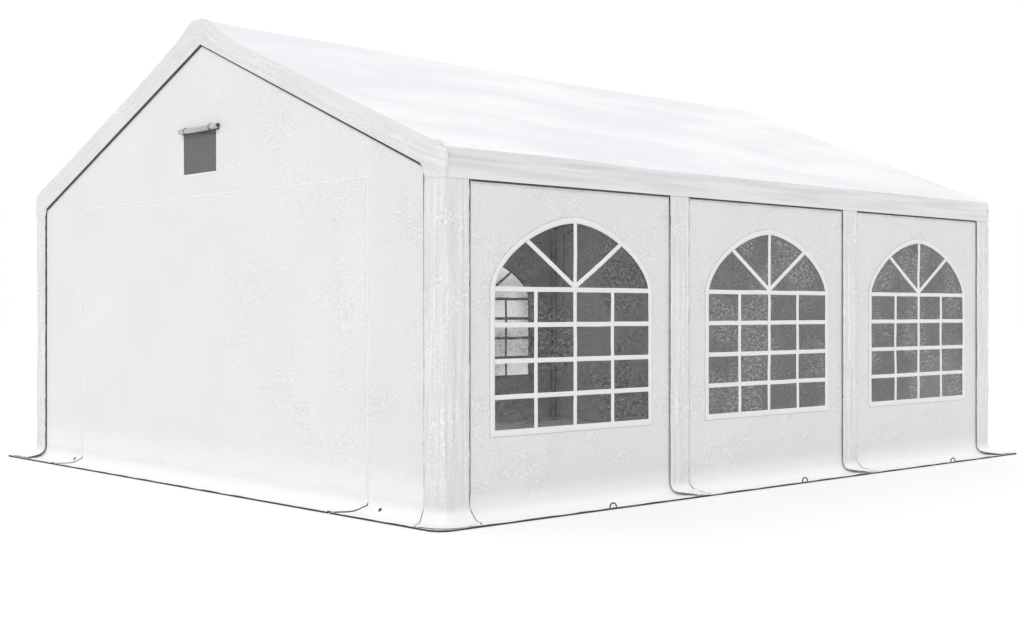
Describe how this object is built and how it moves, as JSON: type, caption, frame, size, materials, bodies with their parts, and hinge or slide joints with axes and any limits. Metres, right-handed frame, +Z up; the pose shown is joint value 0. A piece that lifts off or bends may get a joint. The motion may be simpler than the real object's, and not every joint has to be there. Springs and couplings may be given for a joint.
{
  "type": "marquee tent",
  "caption": "White party marquee: pitched roof on a steel tube frame, arched clear windows along both sides, zipped door and mesh vent in each gable, ground flaps all round.",
  "frame": {"origin": "on the ground, in the middle of the tent's footprint", "axes": "+X along the ridge towards the right gable, +Y from the front side to the back side, +Z up"},
  "size_m": [6.334, 5.594, 3.15],
  "materials": {
    "galvanised_steel": "dull zinc coat",
    "roof_tarpaulin": "coated woven polyethylene with a soft sheen",
    "cover_tarpaulin": "coated woven polyethylene, lightly crinkled",
    "wall_tarpaulin": "coated woven polyethylene with a fine weave",
    "skirt_tarpaulin": "coated woven polyethylene, clean white",
    "clear_film": "clear rippled film with white bars",
    "insect_mesh": "fine grey mesh"
  },
  "bodies": {
    "root": {"post_front_1": "galvanised_steel", "post_front_2": "galvanised_steel", "post_front_3": "galvanised_steel", "post_front_4": "galvanised_steel", "post_back_1": "galvanised_steel", "post_back_2": "galvanised_steel", "post_back_3": "galvanised_steel", "post_back_4": "galvanised_steel", "rafter_front_1": "galvanised_steel", "rafter_front_2": "galvanised_steel", "rafter_front_3": "galvanised_steel", "rafter_front_4": "galvanised_steel", "rafter_back_1": "galvanised_steel", "rafter_back_2": "galvanised_steel", "rafter_back_3": "galvanised_steel", "rafter_back_4": "galvanised_steel", "eave_rail_front": "galvanised_steel", "eave_rail_back": "galvanised_steel", "ridge_rail": "galvanised_steel", "roof_front": "roof_tarpaulin", "roof_back": "roof_tarpaulin", "valance_front": "cover_tarpaulin", "valance_back": "cover_tarpaulin", "gable_trim_left": "cover_tarpaulin", "gable_trim_right": "cover_tarpaulin", "pole_cover_front_1": "cover_tarpaulin", "pole_cover_front_2": "cover_tarpaulin", "pole_cover_back_1": "cover_tarpaulin", "pole_cover_back_2": "cover_tarpaulin", "corner_cover_front_left": "cover_tarpaulin", "corner_cover_front_right": "cover_tarpaulin", "corner_cover_back_left": "cover_tarpaulin", "corner_cover_back_right": "cover_tarpaulin", "wall_front_1": "wall_tarpaulin", "wall_front_2": "wall_tarpaulin", "wall_front_3": "wall_tarpaulin", "wall_back_1": "wall_tarpaulin", "wall_back_2": "wall_tarpaulin", "wall_back_3": "wall_tarpaulin", "window_front_1": "clear_film", "window_front_2": "clear_film", "window_front_3": "clear_film", "window_back_1": "clear_film", "window_back_2": "clear_film", "window_back_3": "clear_film", "gable_wall_left": "wall_tarpaulin", "gable_wall_right": "wall_tarpaulin", "door_left": "wall_tarpaulin", "door_right": "wall_tarpaulin", "vent_mesh_left": "insect_mesh", "vent_mesh_right": "insect_mesh", "vent_flap_left": "wall_tarpaulin", "vent_flap_right": "wall_tarpaulin", "skirt_front": "skirt_tarpaulin", "skirt_back": "skirt_tarpaulin", "skirt_left": "skirt_tarpaulin", "skirt_right": "skirt_tarpaulin"}
  },
  "joints": []
}
